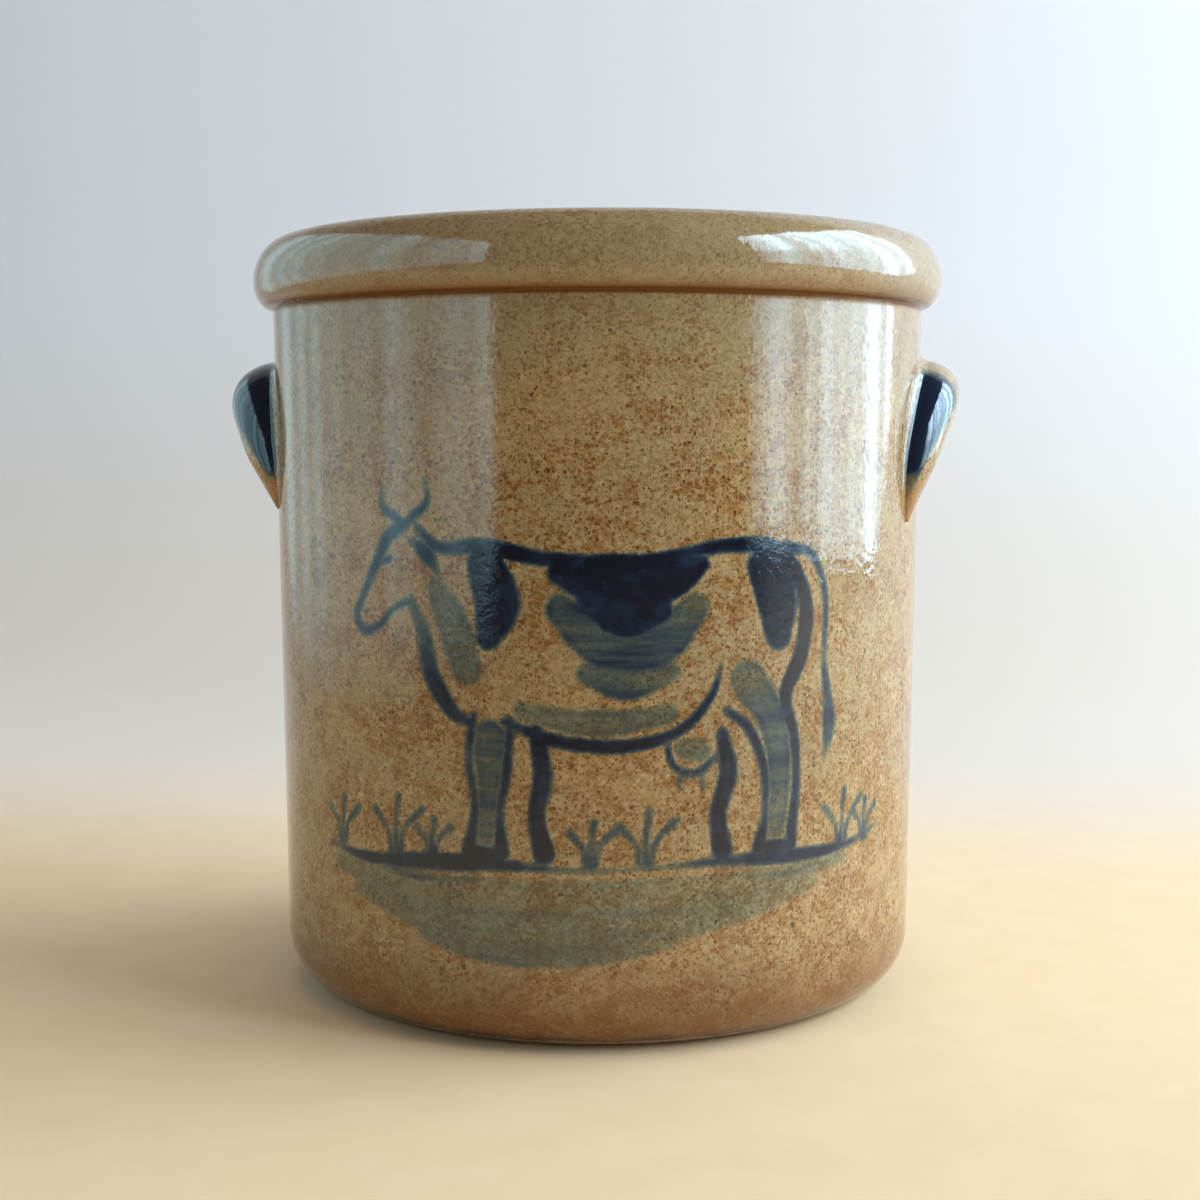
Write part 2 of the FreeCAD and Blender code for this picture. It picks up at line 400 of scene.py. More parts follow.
COW_STROKES = [
    # back, from the crown to the tail
    [(17.0, 61.0, 1.6, 0.8), (22.0, 57.4, 2.2, 0.85), (31.0, 57.8, 2.8, 1.0), (43.0, 55.6, 2.6, 1.0),
     (60.0, 55.2, 2.4, 1.0), (74.0, 57.6, 2.4, 0.95), (85.0, 57.4, 3.0, 0.95), (90.5, 53.4, 2.8, 0.95)],
    # face, muzzle and jaw
    [(14.4, 61.6, 2.2, 0.8), (10.2, 59.0, 2.6, 0.8), (6.6, 53.0, 2.2, 0.8), (3.2, 47.4, 1.8, 0.8),
     (1.6, 43.8, 2.0, 0.85), (3.6, 41.2, 2.2, 0.85), (7.6, 42.2, 1.5, 0.8), (11.4, 45.6, 1.3, 0.75),
     (15.4, 47.4, 1.6, 0.75)],
    [(4.2, 44.6, 1.0, 0.85), (4.8, 44.9, 0.8, 0.8)],
    [(9.4, 54.6, 1.3, 0.9), (10.6, 55.0, 1.5, 0.9)],
    # ear and horns
    [(15.6, 58.6, 1.4, 0.75), (19.0, 56.0, 2.8, 0.8), (22.0, 52.0, 0.8, 0.6)],
    [(12.8, 62.2, 2.0, 0.8), (9.0, 64.8, 1.6, 0.75), (8.8, 69.4, 0.7, 0.5)],
    [(15.8, 62.8, 2.0, 0.8), (19.2, 65.8, 1.6, 0.75), (18.6, 70.4, 0.7, 0.5)],
    # chest
    [(15.4, 47.4, 1.8, 0.6), (18.2, 41.4, 3.0, 0.6), (20.0, 33.6, 3.4, 0.75), (24.4, 27.0, 2.8, 0.9),
     (28.6, 25.0, 1.8, 0.9)],
    # belly and flank
    [(34.6, 25.6, 1.8, 0.85), (45.0, 22.2, 2.4, 0.95), (57.0, 21.4, 2.4, 0.95), (67.0, 24.0, 2.0, 0.9),
     (73.0, 30.0, 1.6, 0.85), (75.0, 35.6, 1.0, 0.7)],
    # udder
    [(64.6, 22.6, 1.3, 0.75), (65.8, 17.8, 1.5, 0.8), (70.0, 16.0, 1.7, 0.8), (74.4, 19.0, 1.3, 0.75)],
    [(67.4, 16.8, 1.2, 0.8), (67.0, 13.6, 1.0, 0.8)],
    [(71.2, 16.4, 1.2, 0.8), (71.6, 13.2, 1.0, 0.8)],
    # near front leg
    [(28.6, 26.6, 1.6, 0.85), (27.6, 18.0, 1.8, 0.85), (28.8, 9.4, 1.7, 0.9), (27.4, 1.2, 2.6, 0.95)],
    [(35.6, 26.0, 1.8, 0.85), (35.0, 16.6, 2.0, 0.9), (33.6, 8.8, 1.8, 0.9), (34.0, 1.2, 2.6, 0.95)],
    [(27.4, 0.9, 2.6, 0.95), (31.0, 0.6, 3.0, 1.0), (34.0, 0.9, 2.6, 0.95)],
    # near hind leg
    [(90.5, 53.4, 3.0, 0.95), (93.6, 46.4, 3.2, 1.0), (92.6, 37.4, 3.2, 1.0), (88.8, 29.4, 2.8, 0.95),
     (90.8, 22.2, 2.4, 0.9), (91.6, 13.0, 2.0, 0.9), (90.4, 1.2, 2.6, 0.95)],
    [(76.2, 27.4, 1.7, 0.85), (80.8, 23.8, 2.0, 0.85), (84.0, 16.4, 2.0, 0.9), (84.6, 8.2, 1.8, 0.9),
     (83.2, 1.2, 2.6, 0.95)],
    [(83.2, 0.9, 2.6, 0.95), (87.0, 0.6, 3.0, 1.0), (90.4, 0.9, 2.6, 0.95)],
    # far legs
    [(40.6, 24.0, 2.6, 0.85), (41.8, 15.4, 3.4, 0.95), (40.6, 8.0, 3.0, 0.95), (42.0, 1.2, 3.8, 1.0)],
    [(75.4, 23.0, 2.4, 0.85), (76.6, 15.8, 3.4, 0.95), (74.6, 8.0, 3.0, 0.95), (75.6, 1.2, 3.8, 1.0)],
    # tail
    [(88.6, 57.4, 2.0, 0.8), (95.0, 55.6, 1.9, 0.8), (98.6, 47.6, 1.6, 0.8), (98.4, 36.0, 1.5, 0.8),
     (99.4, 29.0, 2.4, 0.85), (100.0, 22.4, 3.2, 0.8), (98.6, 16.6, 0.8, 0.5)],
    # dark patches on the shoulder, the back and the rump
    [(31.0, 54.4, 6.0, 0.95), (33.4, 47.6, 7.6, 0.95), (31.6, 41.2, 4.4, 0.85)],
    [(45.6, 53.2, 5.0, 0.95), (54.0, 51.6, 8.6, 1.0), (64.0, 52.0, 7.4, 1.0), (70.6, 54.6, 3.6, 0.95)],
    [(50.6, 48.0, 5.0, 0.9), (57.0, 44.8, 6.4, 0.9), (63.0, 46.4, 5.0, 0.9)],
    [(83.0, 54.0, 5.0, 0.95), (86.6, 48.4, 7.6, 1.0), (87.2, 41.0, 5.2, 0.9)],
]

# Thin washes inside the outlines.
COW_WASHES = [
    [(21.0, 50.0, 3.4, 0.40), (24.6, 43.0, 5.6, 0.46), (27.4, 35.0, 5.0, 0.42)],
    [(45.0, 46.4, 4.6, 0.62), (53.0, 40.2, 7.4, 0.70), (63.0, 40.0, 7.0, 0.66), (70.0, 46.8, 4.6, 0.50)],
    [(50.0, 34.8, 3.6, 0.50), (57.6, 33.0, 5.4, 0.56), (65.0, 35.0, 3.4, 0.46)],
    [(38.0, 27.6, 2.8, 0.42), (52.0, 25.6, 4.2, 0.52), (65.0, 27.2, 3.0, 0.46)],
    [(31.8, 22.6, 5.6, 0.62), (31.4, 12.0, 3.6, 0.60), (30.8, 3.4, 3.2, 0.50)],
    [(80.6, 33.0, 6.0, 0.42), (86.0, 24.6, 5.4, 0.62), (87.8, 13.0, 4.2, 0.62), (87.0, 4.0, 3.6, 0.50)],
    [(68.0, 20.6, 3.4, 0.40), (71.0, 20.0, 3.4, 0.40)],
]

# The ground line and the shadows under it.
GROUND_STROKES = [
    [(-8.0, -1.6, 1.0, 0.7), (4.0, -2.8, 2.2, 0.85), (20.0, -1.6, 3.2, 0.95), (34.0, -1.2, 2.2, 0.9),
     (48.0, -1.8, 1.0, 0.7), (62.0, -1.4, 0.9, 0.6), (76.0, -0.8, 2.0, 0.85), (92.0, -1.4, 2.6, 0.9),
     (106.0, -1.0, 1.6, 0.8), (117.0, 1.2, 0.8, 0.6)],
    [(8.0, -4.6, 1.2, 0.6), (18.0, -5.0, 1.6, 0.7), (30.0, -4.2, 0.8, 0.5)],
    [(80.0, -4.4, 0.9, 0.5), (90.0, -4.6, 1.4, 0.65), (99.0, -3.6, 0.8, 0.5)],
]

# The shaded ground: long sweeps of a nearly dry brush, each one shorter than the one above.
GROUND_SWEEPS = [
    [(-5.0, -4.6, 3.0, 0.34), (14.0, -7.0, 5.0, 0.30), (46.0, -6.8, 5.2, 0.22), (76.0, -6.0, 5.0, 0.24),
     (104.0, -3.2, 2.4, 0.26)],
    [(2.0, -9.6, 2.8, 0.28), (22.0, -12.4, 5.4, 0.36), (48.0, -12.8, 6.2, 0.36), (74.0, -10.8, 5.2, 0.30),
     (96.0, -7.0, 2.2, 0.20)],
    [(18.0, -15.6, 2.6, 0.34), (32.0, -17.4, 4.2, 0.46), (50.0, -17.2, 4.4, 0.42),
     (66.0, -15.0, 2.6, 0.30)],
]

# Grass tufts: (across, size).
TUFTS = ((-4.0, 1.0), (11.0, 1.25), (19.5, 0.8), (50.5, 0.9), (60.5, 1.15), (104.0, 1.2), (111.5, 0.85))


def grass_tuft(across, size):
    """Three blades that lean away from one another, each thicker at its tip."""
    blades = []
    for lean, rise in ((-1.0, 5.6), (0.2, 8.0), (1.3, 6.4)):
        foot = (across + 0.7 * lean * size, -0.6, 1.6, 0.85)
        middle = (across + 1.5 * lean * size, 0.5 * rise * size, 1.1, 0.75)
        tip = (across + 4.0 * lean * size, rise * size, 1.7, 0.7)
        blades.append([foot, middle, tip])
    return blades


def placed_strokes(strokes):
    """Turn strokes from cow units to mm: across from the picture's middle, and up from the table."""
    unit = COW_LENGTH / 100 / MM
    ground = GROUND_HEIGHT / MM
    return [[((across - COW_MIDDLE) * unit, ground + up * unit, BOLDNESS * width * unit, load)
             for across, up, width, load in stroke] for stroke in strokes]


def smooth_stroke(points, steps=9):
    """Pass a smooth curve through a stroke's given points."""
    path = np.array([points[0], *points, points[-1]], dtype=float)
    path[0] += path[1] - path[2]
    path[-1] += path[-2] - path[-3]
    rows = []
    for i in range(1, len(path) - 2):
        before, first, last, after = path[i - 1:i + 3]
        for t in np.arange(steps) / steps:
            rows.append(0.5 * (2 * first + (last - before) * t
                               + (2 * before - 5 * first + 4 * last - after) * t ** 2
                               + (3 * first - before - 3 * last + after) * t ** 3))
    rows.append(path[-2])
    return np.array(rows)


def brush(strokes, across, up, reach=BRUSH_REACH):
    """Signed distance in mm to the strokes' edges, negative inside, and the pigment load there."""
    edge = np.full(across.shape, reach)
    weight = np.full(across.shape, 1e-6)
    carried = np.zeros(across.shape)
    for points in strokes:
        path = smooth_stroke(points)
        margin = reach + path[:, 2].max()
        near = np.flatnonzero((across > path[:, 0].min() - margin) & (across < path[:, 0].max() + margin)
                              & (up > path[:, 1].min() - margin) & (up < path[:, 1].max() + margin))
        if not len(near):
            continue
        here = np.stack([across[near], up[near]], axis=1)
        best = np.full(len(near), reach)
        load = np.zeros(len(near))
        for first, last in zip(path[:-1], path[1:]):
            along = last[:2] - first[:2]
            part = np.clip((here - first[:2]) @ along / max(along @ along, 1e-9), 0, 1)
            gap = np.linalg.norm(here - first[:2] - part[:, None] * along, axis=1)
            gap -= (first[2] + (last[2] - first[2]) * part) / 2
            closer = gap < best
            best[closer] = gap[closer]
            load[closer] = (first[3] + (last[3] - first[3]) * part)[closer]
        edge[near] = np.minimum(edge[near], best)
        share = np.exp(-2.0 * best)
        weight[near] += share
        carried[near] += share * load
    return edge, carried / weight


# ---------------------------------------------------------------- the thrown body

def body_section():
    """Half the section, from the middle of the underside, over the lip, to the middle of the floor."""
    wall_low = (wall_radius(FOOT_ROUND), FOOT_ROUND)
    foot_flat = wall_low[0] - FOOT_ROUND
    crest = WALL_TOP + LIP_REACH - LIP_ROLL
    inner_round = crest - (WALL_TOP - WALL)
    inner_top = (WALL_TOP - WALL, HEIGHT - inner_round)
    inner_low = (wall_radius(FLOOR + FLOOR_CORNER) - WALL, FLOOR + FLOOR_CORNER)
    paint_low = (wall_radius(PAINT_LOW), PAINT_LOW)
    paint_high = (wall_radius(PAINT_HIGH), PAINT_HIGH)
    soft = CREASE_ROUND
    points = run_points((0.0, RECESS_DEPTH), (RECESS_RADIUS - soft, RECESS_DEPTH), 8 * MM)
    points += [(RECESS_RADIUS - soft, RECESS_DEPTH), (RECESS_RADIUS, 0.6 * RECESS_DEPTH)]
    points += run_points((RECESS_RADIUS + soft / 2, 0.0), (foot_flat, 0.0), 4 * MM)
    points += arc_points((foot_flat, FOOT_ROUND), FOOT_ROUND, -90, 0, 12)[:-1]
    points += run_points(wall_low, paint_low, 1.5 * MM)
    points += run_points(paint_low, paint_high, PAINT_PITCH)
    points += run_points(paint_high, (WALL_TOP, CREASE - soft), 1.8 * MM)
    points += arc_points((WALL_TOP + soft, CREASE - soft), soft, 180, 90, 4)
    points += oval_points((WALL_TOP, LIP_BELT), LIP_REACH, LIP_BELT - CREASE, -80, 0, 10)[:-1]
    points += oval_points((crest, LIP_BELT), LIP_ROLL, HEIGHT - LIP_BELT, 0, 90, 19)[:-1]
    points += arc_points((crest, HEIGHT - inner_round), inner_round, 90, 180, 9)[:-1]
    points += run_points(inner_top, inner_low, 4 * MM)
    floor_edge = inner_low[0] - FLOOR_CORNER
    points += arc_points((floor_edge, FLOOR + FLOOR_CORNER), FLOOR_CORNER, 0, -90, 10)[:-1]
    points += run_points((floor_edge, FLOOR), (0.0, FLOOR), 4 * MM)
    points.append((0.0, FLOOR))
    return np.array(points)


def body_turns():
    """Angles from -Y of the mesh's columns: close together behind the painting."""
    pitch = PAINT_PITCH / WALL_TOP
    painted = round((PAINT_RIGHT - PAINT_LEFT) / pitch)
    plain = 118
    front = np.linspace(PAINT_LEFT, PAINT_RIGHT, painted, endpoint=False)
    back = np.linspace(PAINT_RIGHT, PAINT_LEFT + 2 * math.pi, plain, endpoint=False)
    return np.concatenate([front, back])


def hand_thrown(radius, height, turn, inside):
    """Move ideal points a little, as hands do: rings, a spiral in the floor, an uneven rim."""
    rise = height / HEIGHT
    rings = np.sin(2 * math.pi * height / (6.5 * MM) + turn + 1.3 * np.sin(height / (31 * MM)))
    out_of_round = 0.22 * MM * np.cos(2 * turn + 0.6) + 0.12 * MM * np.cos(3 * turn - 1.1)
    faint = 0.0015 * MM * rings + 0.02 * MM * np.sin(2 * math.pi * height / (34 * MM) + 2 * turn)
    deep = 0.28 * MM * rings * np.clip((HEIGHT - height) / (12 * MM), 0, 1)
    wobble = 0.02 * MM * np.sin(23 * turn + 2 * rise) + 0.014 * MM * np.sin(41 * turn - 3 * rise)
    moved = radius + np.where(inside, deep, faint + wobble) + out_of_round * rise
    spiral = 0.35 * MM * np.sin(2 * math.pi * radius / (7 * MM) - turn)
    spiral = spiral * np.clip(radius / (10 * MM), 0, 1)
    on_floor = inside & (height < FLOOR + 0.5 * MM)
    lifted = height + np.where(on_floor, spiral, 0) + 0.35 * MM * np.cos(turn - 0.9) * rise ** 3
    return np.where(radius > 0, np.where(on_floor, radius, moved), 0), lifted


def turned_faces(rows, columns):
    """Faces of a closed turned mesh: rings of points, then the underside's and the floor's middles."""
    under, floor = rows * columns, rows * columns + 1
    faces = []
    for row in range(rows - 1):
        for column in range(columns):
            following = (column + 1) % columns
            low, high = row * columns, (row + 1) * columns
            faces.append((low + column, low + following, high + following, high + column))
    last = (rows - 1) * columns
    for column in range(columns):
        following = (column + 1) % columns
        faces.append((following, column, under))
        faces.append((last + column, last + following, floor))
    return faces


def paint_body(body, turn, height, inside):
    """Store the painting on the body's points, with nothing on the inside or round the back."""
    across = (turn - PICTURE_TURN) * wall_radius(height) / MM
    across = np.where(inside | (turn > math.pi), FAR_AWAY, across)
    up = height / MM
    ends = np.array([0.0, 0.0])
    grass = [blade for foot, size in TUFTS for blade in grass_tuft(foot, size)]
    lines = COW_STROKES + GROUND_STROKES + grass
    washes = COW_WASHES + GROUND_SWEEPS
    for name, strokes in (("line", lines), ("wash", washes)):
        edge, load = brush(placed_strokes(strokes), across, up)
        add_values(body, f"{name}_edge", np.concatenate([edge, ends + BRUSH_REACH]))
        add_values(body, f"{name}_load", np.concatenate([load, ends]))
    add_values(body, "inside", np.concatenate([inside.astype(float), [0.0, 1.0]]))


def make_body():
    """The crock: one closed turned mesh that carries the painting's values at its points."""
    section = body_section()
    turns = body_turns()
    rows, columns = len(section) - 2, len(turns)
    is_inside = np.arange(len(section)) > int(np.argmax(section[:, 1]))
    radius, turn = np.meshgrid(section[1:-1, 0], turns, indexing="ij")
    height = np.repeat(section[1:-1, 1][:, None], columns, axis=1)
    inside = np.repeat(is_inside[1:-1][:, None], columns, axis=1)
    moved, lifted = hand_thrown(radius, height, turn, inside)
    rings = np.stack([moved * np.sin(turn), -moved * np.cos(turn), lifted], axis=-1).reshape(-1, 3)
    verts = np.concatenate([rings, [(0, 0, section[0, 1])], [(0, 0, section[-1, 1])]])
    body = add_piece("thrown_crock", verts, turned_faces(rows, columns))
    paint_body(body, turn.ravel(), height.ravel(), inside.ravel())
    return body


# ---------------------------------------------------------------- the pulled lug handles

def lug_sizes(node):
    """A lug's driving sizes: the height of its tips, and its rise, reach, thickness and half width."""
    low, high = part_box(node)
    tip = low[2]
    thick = LUG_THICK[node]
    rise = high[2] - tip - thick
    reach = max(-low[0], high[0]) - wall_radius(tip + rise)
    return {"tip": tip, "rise": rise, "reach": reach, "thick": thick,
            "half_width": LUG_HALF_WIDTH[node]}


def lug_section(fan, lug):
    """The strap's section at one angle of its arch: (out, proud, around) points, closed behind.

    Out is along the wall from the middle of the arch's open side, and proud is off the wall.  Around
    is 0 on the crown, -90 and 90 where the strap meets the wall, and past that on the smeared joint.
    """
    full = math.cos(fan)
    uneven = 1 + 0.018 * math.sin(5 * fan + 0.7) + 0.012 * math.sin(11 * fan)
    reach = LUG_TIP_REACH + (lug["reach"] * uneven - LUG_TIP_REACH) * full
    thick = LUG_TIP_THICK + (lug["thick"] - LUG_TIP_THICK) * full ** 0.6
    rise, half_width = lug["rise"], lug["half_width"]
    middle = half_width * rise / math.hypot(rise * math.sin(fan), half_width * full)
    points = []
    for angle in np.linspace(-LUG_JOINT, LUG_JOINT, 41):
        turn = math.radians(angle)
        points.append((middle + thick * math.sin(turn), reach * math.cos(turn), angle))
    edge_out = thick * math.sin(math.radians(LUG_JOINT))
    edge_proud = reach * math.cos(math.radians(LUG_JOINT))
    smear = 0.5 * MM + 2.0 * MM * full ** 0.5
    for share in np.linspace(0, 1, 8)[1:]:
        proud = edge_proud * (1 - share) ** 2 - 0.12 * MM * share
        points.append((middle + edge_out + smear * share, proud, 90 + 30 * share))
        points.insert(0, (middle - edge_out - 0.6 * smear * share, proud, -90 - 30 * share))
    for share in (0.5, 0.0, -0.5):
        points.append((middle + edge_out * share, -0.6 * MM, 125))
    return points


def strap_faces(rows, per):
    """Faces of a closed strap: rows of closed sections with this many points, capped at both ends."""
    faces = []
    for row in range(rows - 1):
        low, high = row * per, (row + 1) * per
        for i in range(per):
            following = (i + 1) % per
            faces.append((low + i, low + following, high + following, high + i))
    faces.append(tuple(range(per))[::-1])
    faces.append(tuple((rows - 1) * per + i for i in range(per)))
    return faces


def make_lug(name, side, lug):
    """An arched strap pressed onto the wall, thinning to a point at both ends.  Side is -1 or 1.

    Each point carries bend, the angle of its section along the arch, and around, its angle round it.
    """
    fans = np.radians(np.linspace(-90, 90, 121))
    sections = [lug_section(fan, lug) for fan in fans]
    verts, bend, around = [], [], []
    for fan, section in zip(fans, sections):
        for out, proud, angle in section:
            y = out * math.sin(fan)
            z = lug["tip"] + out * math.cos(fan)
            turn = math.asin(side * y / wall_radius(z)) + side * math.radians(90)
            moved, _ = hand_thrown(wall_radius(z), z, turn, False)
            radius = float(moved) + proud
            verts.append((radius * math.sin(turn), -radius * math.cos(turn), z))
            bend.append(math.degrees(fan))
            around.append(angle)
    faces = strap_faces(len(fans), len(sections[0]))
    if side > 0:
        faces = [face[::-1] for face in faces]
    piece = add_piece(name, verts, faces)
    add_values(piece, "bend", bend)
    add_values(piece, "around", around)
    return piece


# ---------------------------------------------------------------- glaze

GLAZE_IOR = 1.6

# Colours of the glaze and of what is in it, and of the shade painted onto it.
TAN_COOL = (0.392, 0.276, 0.138, 1)
TAN_WARM = (0.468, 0.300, 0.132, 1)
TAN_GREYED = (0.320, 0.248, 0.155, 1)
RUST_CLOUD = (0.315, 0.150, 0.042, 1)
CREAM_CLOUD = (0.60, 0.475, 0.28, 1)
IRON_FINE = (0.200, 0.066, 0.009, 1)
IRON_MIDDLING = (0.105, 0.036, 0.006, 1)
IRON_COARSE = (0.060, 0.032, 0.015, 1)
IRON_BLOT = (0.045, 0.030, 0.022, 1)
# Rust at the foot, darkened with painted shade.
FOOT_RUST_AND_SHADE = (0.190, 0.066, 0.008, 1)
# Painted contact shadow on the foot's lowest edge.
FOOT_CONTACT_SHADE = (0.060, 0.024, 0.008, 1)
# Browner on the lip's underside.
LIP_UNDERSIDE_BROWN = (0.21, 0.092, 0.026, 1)
# Painted shade: a dark brown line in the crease under the lip.
CREASE_PAINTED_SHADE = (0.150, 0.056, 0.014, 1)
LUG_TAIL_RUST = (0.36, 0.15, 0.04, 1)
COBALT_FILM = (0.118, 0.146, 0.110, 1)
CLAY_DARK = (0.25, 0.15, 0.085, 1)
CLAY_PALE = (0.46, 0.31, 0.19, 1)


def glossy_material(name):
    """A new glazed material: its nodes, its shader, an object-space place and the height in it."""
    material = bpy.data.materials.new(name)
    material.use_nodes = True
    tree = Nodes(material.node_tree)
    shader = tree.find("ShaderNodeBsdfPrincipled")
    shader.inputs["IOR"].default_value = GLAZE_IOR
    place = tree.add("ShaderNodeTexCoord").outputs["Object"]
    height = tree.add("ShaderNodeSeparateXYZ", Vector=place).outputs[2]
    return material, tree, shader, place, height


def glaze_ground(tree, place, height, drift):
    """The glaze's ground: two tans, rust clouds that gather lower down, cream clouds and a fine grain."""
    broad = tree.noise(place, 24.0, 3.0, 0.55)
    low = tree.span(height, 150 * MM, 35 * MM)
    ground = tree.mix(tree.span(broad, 0.35, 0.65), TAN_COOL, TAN_WARM)
    rust_drift = tree.span(drift, 0.30, 0.72, 0.0, 0.40)
    rust_share = tree.maths("ADD", tree.maths("MULTIPLY", low, 0.29), rust_drift)
    cloud = tree.noise(place, 260.0, 5.0, 0.72)
    level = tree.maths("MULTIPLY_ADD", rust_share, -0.20, 0.60)
    cloudy = tree.span(tree.maths("SUBTRACT", cloud, level), -0.07, 0.10)
    rusty = tree.mix(tree.maths("MULTIPLY", cloudy, 0.80), ground, RUST_CLOUD)
    cream = tree.span(tree.noise(place, 560.0, 4.0, 0.7), 0.50, 0.70, 0.0, 0.45)
    pale = tree.mix(cream, rusty, CREAM_CLOUD)
    grain = tree.span(tree.noise(place, 1100.0, 3.0, 0.7), 0.3, 0.7, 0.72, 1.24)
    grey = tree.add("ShaderNodeCombineColor", Red=grain, Green=grain, Blue=grain)
    return tree.mix(1.0, pale, grey.outputs[0], "MULTIPLY")


def bare_glaze(tree, place, height):
    """Colour of the speckled glaze, and how strong its specks are for the relief."""
    drift = tree.noise(place, 95.0, 3.0, 0.6)
    grained = glaze_ground(tree, place, height, drift)
    uneven = tree.shaken(place, 1500.0, 0.9 * MM)
    crowd = tree.span(drift, 0.32, 0.68, 0.40, 0.88)
    fine = tree.dots(uneven, 1450.0, 0.95, crowd)
    middling = tree.dots(uneven, 880.0, 0.62, tree.span(drift, 0.30, 0.66, 0.18, 0.42))
    coarse = tree.dots(uneven, 380.0, 0.24, 0.22, 0.04)
    blots = tree.dots(uneven, 125.0, 0.11, 0.11, 0.02)
    colour = tree.mix(tree.maths("MULTIPLY", fine, 0.95), grained, IRON_FINE)
    colour = tree.mix(middling, colour, IRON_MIDDLING)
    colour = tree.mix(tree.maths("MULTIPLY", coarse, 0.90), colour, IRON_COARSE)
    colour = tree.mix(tree.maths("MULTIPLY", blots, 0.90), colour, IRON_BLOT)
    return colour, tree.maths("MAXIMUM", coarse, blots)


def cobalt_over(tree, glaze, amount):
    """Tint the glaze with cobalt: a thin wash lets it show through, a full brush is nearly black."""
    veil = tree.colours(amount, [
        (0.0, (1.0, 1.0, 1.0)),
        (0.30, (0.55, 0.74, 0.90)),
        (0.60, (0.20, 0.34, 0.66)),
        (1.0, (0.03, 0.06, 0.20)),
    ])
    thin = tree.mix(1.0, glaze, veil, "MULTIPLY")
    thin = tree.mix(tree.maths("MULTIPLY", amount, 0.6), thin, COBALT_FILM)
    thick = tree.colours(amount, [
        (0.45, (0.036, 0.074, 0.115)),
        (0.75, (0.012, 0.026, 0.062)),
        (0.95, (0.006, 0.007, 0.020)),
    ])
    return tree.mix(tree.span(amount, 0.42, 0.80), thin, thick)


def coloured_by_height(tree, place, height, glaze):
    """Grey the glaze high up, rust the foot with some painted shade, paint contact shadow on its lowest
    edge, brown the lip's underside and paint shade into the crease under the lip.

    The second result is how dull the crease is.
    """
    top = tree.span(height, 125 * MM, 170 * MM, 0.0, 0.50)
    glaze = tree.mix(top, glaze, TAN_GREYED)
    # Rust and painted shade: the glaze darkens to rust from 30 mm down to 10 mm above the table.
    foot_height = tree.maths("MULTIPLY_ADD", tree.noise(place, 90.0, 3.0), 10 * MM, height)
    glaze = tree.mix(tree.span(foot_height, 30 * MM, 10 * MM, 0.0, 0.72), glaze, FOOT_RUST_AND_SHADE)
    # Painted contact shadow: the lowest few mm of the foot, where it rounds under towards the table, go
    # nearly black-brown.
    contact_shade_height = tree.maths("MULTIPLY_ADD", tree.noise(place, 130.0, 3.0), 4.5 * MM, height)
    contact_shade = tree.span(contact_shade_height, 6.8 * MM, 3.4 * MM)
    glaze = tree.mix(tree.maths("MULTIPLY", contact_shade, 0.85), glaze, FOOT_CONTACT_SHADE)

    outside = tree.maths("SUBTRACT", 1.0, tree.attribute("inside"))
    # Browner on the lip's underside, fading from the crease up to 4.2 mm above it.
    above = tree.span(height, CREASE - 0.5 * MM, CREASE + 0.5 * MM)
    lip_underside_brown = tree.maths("MULTIPLY", above, tree.span(height, CREASE + 4.2 * MM, CREASE, 0.0, 0.70))
    glaze = tree.mix(tree.maths("MULTIPLY", lip_underside_brown, outside), glaze, LIP_UNDERSIDE_BROWN)
    # Painted shade: a thin dark brown line along the crease under the lip.
    from_crease = tree.maths("ABSOLUTE", tree.maths("SUBTRACT", height, CREASE - 0.1 * MM))
    line = tree.maths("MULTIPLY", tree.span(from_crease, 1.0 * MM, 0.3 * MM), outside)
    glaze = tree.mix(tree.maths("MULTIPLY", line, 0.95), glaze, CREASE_PAINTED_SHADE)
    dull = tree.maths("MULTIPLY", tree.span(from_crease, 1.6 * MM, 0.8 * MM, 0.0, 0.9), outside)
    return glaze, dull


def brushed_cobalt(tree, place):
    """How much cobalt the painting's lines and washes leave on each place."""
    fray = tree.noise(place, 1100.0, 2.0)
    drag = tree.noise(place, 160.0, 3.0, 0.6)
    edge = tree.maths("MULTIPLY_ADD", fray, 0.5, tree.attribute("line_edge"))
    stroke = tree.span(edge, 0.55, -0.05)
    body = tree.span(edge, 0.35, -0.95, 0.55, 1.0)
    load = tree.maths("MULTIPLY", tree.attribute("line_load"), body)
    load = tree.maths("MULTIPLY", load, tree.span(drag, 0.3, 0.7, 0.80, 1.12))
    painted = tree.maths("MULTIPLY", load, stroke)

    streaks = tree.add("ShaderNodeMapping", Vector=place, Scale=(0.25, 0.25, 2.2))
    hairs = tree.noise(streaks.outputs[0], 170.0, 3.0, 0.6)
    wash_edge = tree.maths("MULTIPLY_ADD", drag, 1.6, tree.attribute("wash_edge"))
    wash = tree.span(wash_edge, 1.6, 0.0)
    wash = tree.maths("MULTIPLY", wash, tree.attribute("wash_load"))
    wash = tree.maths("MULTIPLY", wash, tree.span(hairs, 0.28, 0.72, 0.78, 1.12))
    from_rim = tree.maths("ABSOLUTE", tree.maths("ADD", wash_edge, 0.3))
    wash = tree.maths("MULTIPLY", wash, tree.span(from_rim, 1.2, 0.0, 1.0, 1.10))
    return tree.maths("MAXIMUM", painted, wash, clamp=True)


